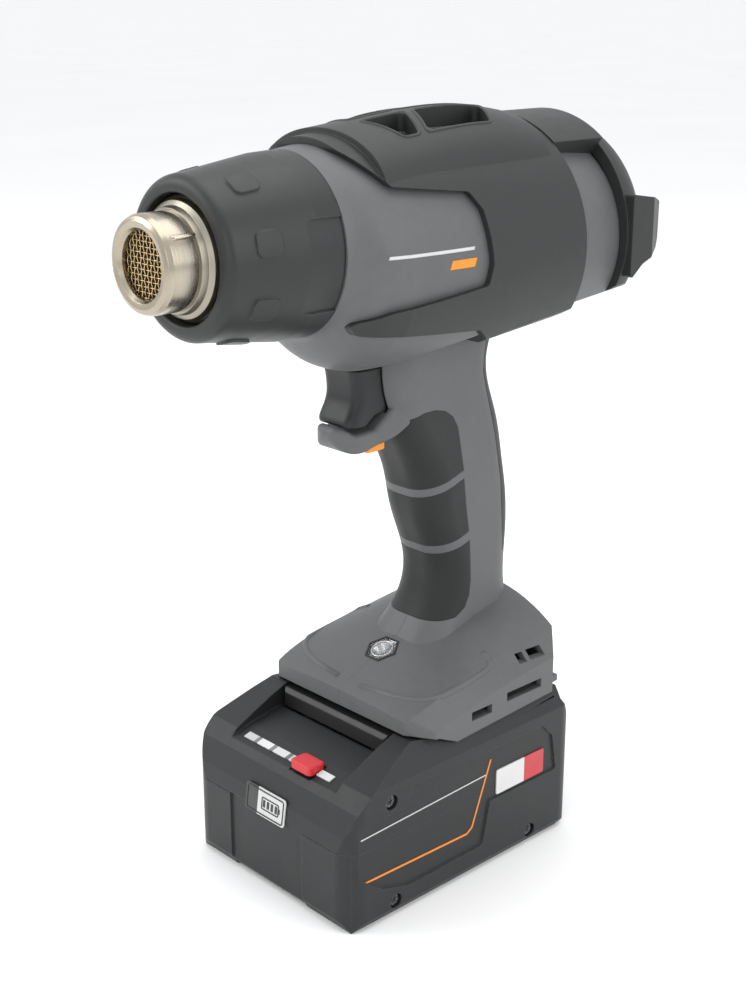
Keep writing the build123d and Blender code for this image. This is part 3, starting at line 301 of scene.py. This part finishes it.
# ------------------------------------------------------------------ mesh helpers
def piece(name, points, faces, body, slot, smooth=True, material=None):
    mesh = bpy.data.meshes.new(name)
    mesh.from_pydata([tuple(p) for p in points], [], faces)
    mesh.update()
    work = bmesh.new()
    work.from_mesh(mesh)
    bmesh.ops.recalc_face_normals(work, faces=work.faces)
    work.to_mesh(mesh)
    work.free()
    for face in mesh.polygons:
        face.use_smooth = smooth
    made = bpy.data.objects.new(name, mesh)
    bpy.context.scene.collection.objects.link(made)
    made.data.materials.append(material or MATERIALS[slot])
    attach(made, body)
    return made


def tube(route, radius, sides, points, faces, closed=False):
    """Adds a round bar along a route of points to the lists of points and faces."""
    first, count = len(points), len(route)
    for i, p in enumerate(route):
        before = route[i - 1] if i or closed else route[i]
        after = route[(i + 1) % count] if i < count - 1 or closed else route[i]
        along = (after - before).normalized()
        leaning = Vector((0.13, 0.21, 0.97)) if abs(along.z) < 0.9 else Vector((0.2, 0.97, 0.1))
        side = along.cross(leaning).normalized()
        up = along.cross(side)
        for k in range(sides):
            turn = 2 * pi * k / sides
            points.append(p + side * (radius * cos(turn)) + up * (radius * sin(turn)))
    for i in range(count if closed else count - 1):
        a, b = first + i * sides, first + ((i + 1) % count) * sides
        for k in range(sides):
            n = (k + 1) % sides
            faces.append((a + k, a + n, b + n, b + k))
    if not closed:
        faces.append(tuple(first + k for k in range(sides)))
        faces.append(tuple(first + (count - 1) * sides + k for k in range(sides)))


# ------------------------------------------------------------------ woven outlet mesh
low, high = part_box("outlet_mesh")
centre = Vector(((low.x + high.x) / 2, (low.y + high.y) / 2, (low.z + high.z) / 2))
mesh_r = (high.x - low.x) / 2
PITCH, WIRE = 1.9 * MM, 0.2 * MM
points, faces = [], []
wires = int(mesh_r / PITCH)
for direction in (0, 1):
    for index in range(-wires, wires + 1):
        offset = index * PITCH
        reach = (mesh_r ** 2 - offset ** 2) ** 0.5 if abs(offset) < mesh_r else 0.0
        if reach < 2 * MM:
            continue
        steps = int(reach / PITCH * 4)
        route = []
        for k in range(-steps, steps + 1):
            along = k * PITCH / 4
            lift = WIRE * 1.05 * cos(pi * along / PITCH + pi * (index + direction))
            spot = (along, lift, offset) if direction == 0 else (offset, lift, along)
            route.append(centre + Vector(spot))
        tube(route, WIRE, 6, points, faces)
woven = piece("outlet_weave", points, faces, "tool", "mesh_steel")
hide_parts("outlet_mesh")

# ------------------------------------------------------------------ flat and draped details
def tree_of(*names):
    """Search tree over the surfaces of some CAD nodes, for laying pieces on them."""
    points, faces = [], []
    for name in names:
        mesh, first = NODES[name].data, len(points)
        points += [v.co.copy() for v in mesh.vertices]
        faces += [tuple(first + i for i in f.vertices) for f in mesh.polygons]
    return BVHTree.FromPolygons(points, faces)


def ribbon(route, width, origin, right, up, thick, points, faces, closed=False):
    """Adds a flat mitred band along a route of (right, up) distances on a plane."""
    out = right.cross(up)
    first, count = len(points), len(route)
    for i, (a, b) in enumerate(route):
        here = Vector((a, b))
        arms = []
        if i or closed:
            arms.append((here - Vector(route[i - 1])).normalized())
        if i < count - 1 or closed:
            arms.append((Vector(route[(i + 1) % count]) - here).normalized())
        along = sum(arms, Vector((0, 0))).normalized()
        across = Vector((-along.y, along.x))
        across *= width / 2 / max(0.3, along.dot(arms[0]))
        for sense, high in ((-1, 0), (1, 0), (1, thick), (-1, thick)):
            spot = here + across * sense
            points.append(origin + right * spot.x + up * spot.y + out * high)
    for i in range(count if closed else count - 1):
        a, b = first + 4 * i, first + 4 * ((i + 1) % count)
        for k in range(4):
            n = (k + 1) % 4
            faces.append((a + k, a + n, b + n, b + k))
    if not closed:
        faces.append(tuple(first + k for k in range(4)))
        faces.append(tuple(first + 4 * (count - 1) + k for k in range(4)))


def rounded_outline(half_x, half_y, radius, steps=6):
    """Closed route of a rectangle with round corners about the plane's origin."""
    route = []
    for turn, cx, cy in ((0, 1, 1), (90, -1, 1), (180, -1, -1), (270, 1, -1)):
        for k in range(steps + 1):
            angle = radians(turn + 90 * k / steps)
            route.append((cx * (half_x - radius) + radius * cos(angle),
                          cy * (half_y - radius) + radius * sin(angle)))
    return route


def draped(name, lower, upper, surface, toward, lift, body, slot, columns=40, rows=3, material=None):
    """Thin shell laid on a surface between two rows of points, found by looking along a direction."""
    toward = Vector(toward)

    def along(route, t):
        spot = t * (len(route) - 1)
        k = min(int(spot), len(route) - 2)
        return Vector(route[k]).lerp(Vector(route[k + 1]), spot - k)

    grid = []
    for i in range(columns + 1):
        bottom, top = along(lower, i / columns), along(upper, i / columns)
        for j in range(rows + 1):
            start = bottom.lerp(top, j / rows)
            hit, normal = surface.ray_cast(start - toward * REACH, toward, 2 * REACH)[:2]
            grid.append((hit, normal if normal.dot(toward) < 0 else -normal))
    wide = rows + 1
    points = [p + n * lift for p, n in grid] + [p - n * 0.0002 for p, n in grid]
    faces, under = [], len(grid)
    for i in range(columns):
        for j in range(rows):
            a = i * wide + j
            faces.append((a, a + 1, a + wide + 1, a + wide))
            faces.append(tuple(under + k for k in (a, a + wide, a + wide + 1, a + 1)))
    rim = ([i * wide for i in range(columns + 1)] + [columns * wide + j for j in range(1, wide)]
           + [i * wide + rows for i in range(columns - 1, -1, -1)] + [j for j in range(rows - 1, 0, -1)])
    for k, a in enumerate(rim):
        b = rim[(k + 1) % len(rim)]
        faces.append((a, b, under + b, under + a))
    return piece(name, points, faces, body, slot, smooth=False, material=material)


# orange and pale lines printed in the recess on each side of the pack
ORANGE_LINE = [(-59.2, 20.8), (-0.2, 19.3), (2.7, 21.2), (13.1, 48.2)]
PALE_LINE = [(-58.6, 39.9), (10.3, 42.1)]
for side_name, sense in BOTH_SIDES:
    for line_name, route, width, slot in (("orange", ORANGE_LINE, 0.9, "lever_orange"),
                                          ("pale", PALE_LINE, 0.5, "plate_silver")):
        points, faces = [], []
        ribbon([(y * MM, z * MM) for y, z in route], width * MM, Vector((sense * 47.15 * MM, 0, 0)),
               Vector((0, 1, 0)), Vector((0, 0, 1)), sense * 0.2 * MM, points, faces)
        piece(f"pack_line_{line_name}_{side_name}", points, faces, "battery_pack", slot, smooth=False)

# plain frame and a generic battery sign on the front plate
low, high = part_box("front_plate")
plate_up = Vector((0, 0.141, 0.99)).normalized()
plate_origin = Vector(((low.x + high.x) / 2, -0.0651, 0.038))
sign_centre = plate_origin + Vector((3.1 * MM, 0, 0))
plate_dark = plastic("plate_print", (0.03, 0.03, 0.032), 0.35, depth=0.1, wear=0.05)
points, faces = [], []


def plate_mark(route, width, origin, closed=False):
    """Adds a band to the print on the front plate, with all distances in millimetres."""
    scaled = [(a * MM, b * MM) for a, b in route]
    ribbon(scaled, width * MM, origin, X_AXIS, plate_up, INK, points, faces, closed)


plate_mark(rounded_outline(10.9, 4.9, 1.0), 0.55, plate_origin, closed=True)
plate_mark(rounded_outline(5.0, 2.4, 0.5), 0.45, sign_centre, closed=True)
plate_mark([(5.0, 0), (5.9, 0)], 2.0, sign_centre)
for bar in range(4):
    x = -3.6 + 2.4 * bar
    plate_mark([(x, -1.5), (x, 1.5)], 1.3, sign_centre)
piece("front_plate_print", points, faces, "battery_pack", None, smooth=False, material=plate_dark)


# plain accent bars on both sides of the barrel, in the window of the cover: ink, y and z from and to
BARREL_BARS = {"pale": (-38.0, 0.0, 255.4, 256.6), "orange": (-12.0, 0.0, 249.4, 252.6)}
BAR_LEAN = 0.4            # the bars' ends lean rearwards by this slope
halves = {side_name: tree_of(f"housing_{side_name}") for side_name, sense in BOTH_SIDES}
for side_name, sense in BOTH_SIDES:
    for bar_name, (y0, y1, z0, z1) in BARREL_BARS.items():
        x, lean = sense * 50, BAR_LEAN * (z1 - z0)
        lower = [(x * MM, y * MM, z0 * MM) for y in (y0, y1)]
        upper = [(x * MM, (y + lean) * MM, z1 * MM) for y in (y0, y1)]
        draped(f"barrel_bar_{bar_name}_{side_name}", lower, upper, halves[side_name], (-sense, 0, 0), INK,
               "tool", None, material=BAR[bar_name])


def bead(name, spots, surface, toward, radius, body, slot, sink=0.35, closed=False):
    """Half-sunk round bead laid on a surface along a row of points."""
    toward = Vector(toward)
    smooth = []
    count = len(spots)
    for i in range(count if closed else count - 1):
        a, b = Vector(spots[i]), Vector(spots[(i + 1) % count])
        for k in range(6):
            smooth.append(a.lerp(b, k / 6))
    if not closed:
        smooth.append(Vector(spots[-1]))
    route = []
    for start in smooth:
        hit, normal = surface.ray_cast(start - toward * REACH, toward, 2 * REACH)[:2]
        if hit is not None:
            normal = normal if normal.dot(toward) < 0 else -normal
            route.append(hit - normal * radius * sink)
    points, faces = [], []
    tube(route, radius, 12, points, faces, closed)
    return piece(name, points, faces, body, slot)


# raised step along the shoulder on each side of the foot
FOOT_STEP = [(-24.0, 78.0), (-10.0, 80.6), (4.0, 82.2), (14.0, 83.6), (18.6, 84.6), (20.6, 86.0),
             (21.6, 88.4)]
for side_name, sense in BOTH_SIDES:
    spots = [(sense * 60 * MM, y * MM, z * MM) for y, z in FOOT_STEP]
    bead(f"foot_step_{side_name}", spots, halves[side_name], (-sense, 0, 0), 1.5 * MM, "tool", "housing_grey",
         sink=0.5)

# raised rims round the air intakes in the crown, with rounded corners
RIM_CORNER = 2.4
INTAKES = {"front": [(2.9, -18.0), (2.9, 5.0), (22.9, -5.8), (22.9, -14.0)],
           "rear": [(2.9, 8.8), (2.9, 45.2), (22.9, 31.4), (22.9, -2.6)]}
cover = tree_of("top_cover")
for side_name, sense in BOTH_SIDES:
    for intake_name, corners in INTAKES.items():
        outline = []
        count = len(corners)
        for i in range(count):
            here, before, after = (Vector(corners[k % count]) for k in (i, i - 1, i + 1))
            a = here + (before - here).normalized() * RIM_CORNER
            b = here + (after - here).normalized() * RIM_CORNER
            outline += [a.lerp(here, t).lerp(here.lerp(b, t), t) for t in (0, 0.33, 0.67, 1)]
        bead(f"intake_rim_{intake_name}_{side_name}", [(sense * q.x * MM, q.y * MM, 0.31) for q in outline],
             cover, (0, 0, -1), 0.75 * MM, "tool", "cover_black", closed=True)

# short pressed rib on each side of the outlet tube: (y, lift over its own axis radius)
RIB_ROUTE = ((-110.2, -0.6), (-109.6, 0.0), (-108.6, 0.3), (-102.0, 0.3), (-100.8, 0.3))
RIB_AXIS_R = 16.7
low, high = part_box("outlet_tube")
outlet_z = (low.z + high.z) / 2
for side_name, turn in (("left", 143.0), ("right", 37.0)):
    points, faces = [], []
    out = Vector((cos(radians(turn)), 0, sin(radians(turn))))
    route = [Vector((0, y * MM, outlet_z)) + out * (RIB_AXIS_R + lift) * MM for y, lift in RIB_ROUTE]
    tube(route, 0.95 * MM, 14, points, faces)
    piece(f"outlet_rib_{side_name}", points, faces, "tool", "outlet_steel")

# ------------------------------------------------------------------ work light
low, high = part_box("lamp_lens")
tilt = radians(21.8)
lamp_centre, lamp_out = (low + high) / 2, Vector((0, -sin(tilt), cos(tilt)))
lamp_up = Vector((0, cos(tilt), sin(tilt)))


def lamp_spoke(turn, radius):
    """Vector from the lamp's axis, across it."""
    return (X_AXIS * cos(turn) + lamp_up * sin(turn)) * radius


# amber source, a low dome deep under the lens
SOURCE_R, SOURCE_HIGH, SOURCE_DEPTH = 1.5 * MM, 0.9 * MM, 4.6 * MM
RINGS, SECTORS = 5, 16
points, faces = [], []
for ring in range(RINGS):
    angle = radians(18 * ring)
    height = SOURCE_HIGH * sin(angle) - SOURCE_DEPTH
    for k in range(SECTORS):
        spoke = lamp_spoke(2 * pi * k / SECTORS, SOURCE_R * cos(angle))
        points.append(lamp_centre + lamp_out * height + spoke)
    for k in range(SECTORS if ring else 0):
        inner, outer, n = ring * SECTORS, (ring - 1) * SECTORS, (k + 1) % SECTORS
        faces.append((outer + k, outer + n, inner + n, inner + k))
faces.append(tuple(range((RINGS - 1) * SECTORS, RINGS * SECTORS)))
faces.append(tuple(range(SECTORS - 1, -1, -1)))
amber = plastic("lamp_phosphor", (0.75, 0.42, 0.04), 0.3, grain=3000.0, depth=0.1, wear=0.0)
piece("lamp_source", points, faces, "tool", None, material=amber)

# dark seal round the lens
SEAL_R = 7.15 * MM
points, faces = [], []
hexagon = [(SEAL_R * cos(radians(60 * k)), SEAL_R * sin(radians(60 * k))) for k in range(6)]
ribbon(hexagon, 0.9 * MM, lamp_centre + lamp_out * 0.9 * MM, X_AXIS, lamp_up, 0.5 * MM, points, faces,
       closed=True)
piece("lamp_seal", points, faces, "tool", "grip_rubber", smooth=False)

# bright ring on the lens
points, faces = [], []
ring = [lamp_centre + lamp_out * 1.0 * MM + lamp_spoke(2 * pi * k / 48, 4.5 * MM) for k in range(48)]
tube(ring, 0.4 * MM, 10, points, faces, closed=True)
piece("lamp_ring", points, faces, "tool", "reflector_chrome")


# ------------------------------------------------------------------ screw heads with a star socket
def screw_head(centre, out, radius, points, faces, turns=48):
    """Adds a low pan head whose outer face looks along out, with a six-lobed socket."""
    side = out.cross(Vector((0, 0, 1))).normalized()
    up = side.cross(out)
    lobe = 0.13 * radius
    profile = [(radius, -2.2, 0), (radius, -0.35, 0), (0.93 * radius, -0.1, 0), (0.8 * radius, 0, 0),
               (0.5 * radius, 0, 1), (0.44 * radius, -0.12, 1), (0.42 * radius, -1.3, 1),
               (0.05 * radius, -1.5, 1)]
    first = len(points)
    for distance, height, lobed in profile:
        for k in range(turns):
            turn = 2 * pi * k / turns
            reach = distance + (lobe * cos(6 * turn) * min(1.0, distance / (0.4 * radius)) if lobed else 0.0)
            points.append(centre + (side * cos(turn) + up * sin(turn)) * (reach * MM) + out * (height * MM))
    for ring in range(len(profile) - 1):
        for k in range(turns):
            n = (k + 1) % turns
            a, b = first + ring * turns, first + (ring + 1) * turns
            faces.append((a + k, a + n, b + n, b + k))
    faces.append(tuple(first + (len(profile) - 1) * turns + k for k in range(turns)))
    faces.append(tuple(first + k for k in range(turns - 1, -1, -1)))


PACK_SCREWS = [(-43.0, 50.5), (-40.6, 6.4), (37.8, 6.0)]
points, faces = [], []
for y, z in PACK_SCREWS:
    for sense in (-1, 1):
        screw_head(Vector((sense * 46.8, y, z)) * MM, Vector((sense, 0, 0)), 2.95, points, faces)
piece("pack_screw_heads", points, faces, "battery_pack", "screw_steel")

HOUSING_SCREWS = [(42.0, 112.0), (40.0, 190.0), (-36.0, 219.4), (52.0, 90.0)]
points, faces = [], []
for y, z in HOUSING_SCREWS:
    screw_head(Vector((-11.9, y, z)) * MM, Vector((-1, 0, 0)), 2.7, points, faces)
piece("housing_screw_heads", points, faces, "tool", "screw_steel")

# ------------------------------------------------------------------ floor, light, camera
bpy.ops.mesh.primitive_plane_add(size=400, location=(0, 0, 0))
floor = bpy.context.object
floor.name = "floor"
ground = Tree("floor", Specular_IOR_Level=0.2)
floor.data.materials.append(ground.finish(
    ground.ramp(ground.noise(3.0, 3.0), [(0.3, (0.93, 0.93, 0.93)), (0.7, (0.95, 0.95, 0.95))]), 0.75))

world = bpy.data.worlds.new("studio")
bpy.context.scene.world = world
world.use_nodes = True
world.node_tree.nodes["Background"].inputs["Color"].default_value = (0.98, 0.99, 1.0, 1)
world.node_tree.nodes["Background"].inputs["Strength"].default_value = 1.0


def softbox(name, spot, target, size, power, colour=(1, 1, 1)):
    lamp = bpy.data.lights.new(name, "AREA")
    lamp.shape, lamp.size, lamp.size_y = "RECTANGLE", *size
    lamp.energy, lamp.color = power, colour
    holder = bpy.data.objects.new(name, lamp)
    holder.location = spot
    holder.rotation_euler = (Vector(target) - Vector(spot)).to_track_quat("-Z", "Y").to_euler()
    bpy.context.scene.collection.objects.link(holder)


softbox("top_light", (0.0, 0.1, 1.35), (0, 0, 0.15), (1.1, 1.3), 8)
softbox("left_light", (-1.0, -1.0, 0.95), (0, 0, 0.16), (0.8, 0.9), 8)
softbox("right_light", (1.25, 0.35, 0.75), (0, 0, 0.16), (0.7, 0.9), 4.5)
softbox("front_light", (0.75, -1.25, 0.6), (0, 0, 0.15), (0.6, 0.6), 2.0)

camera = bpy.data.cameras.new("camera")
camera.lens, camera.sensor_width = 55.44, 36.0
camera.clip_start, camera.clip_end = 0.01, 50.0
eye = bpy.data.objects.new("camera", camera)
eye.location = (0.4203, -0.4033, 0.3456)
eye.rotation_mode = "QUATERNION"
eye.rotation_quaternion = Vector((-0.6905, 0.6497, -0.3180)).to_track_quat("-Z", "Y")
bpy.context.scene.collection.objects.link(eye)
bpy.context.scene.camera = eye
bpy.context.scene.view_settings.view_transform = "Standard"
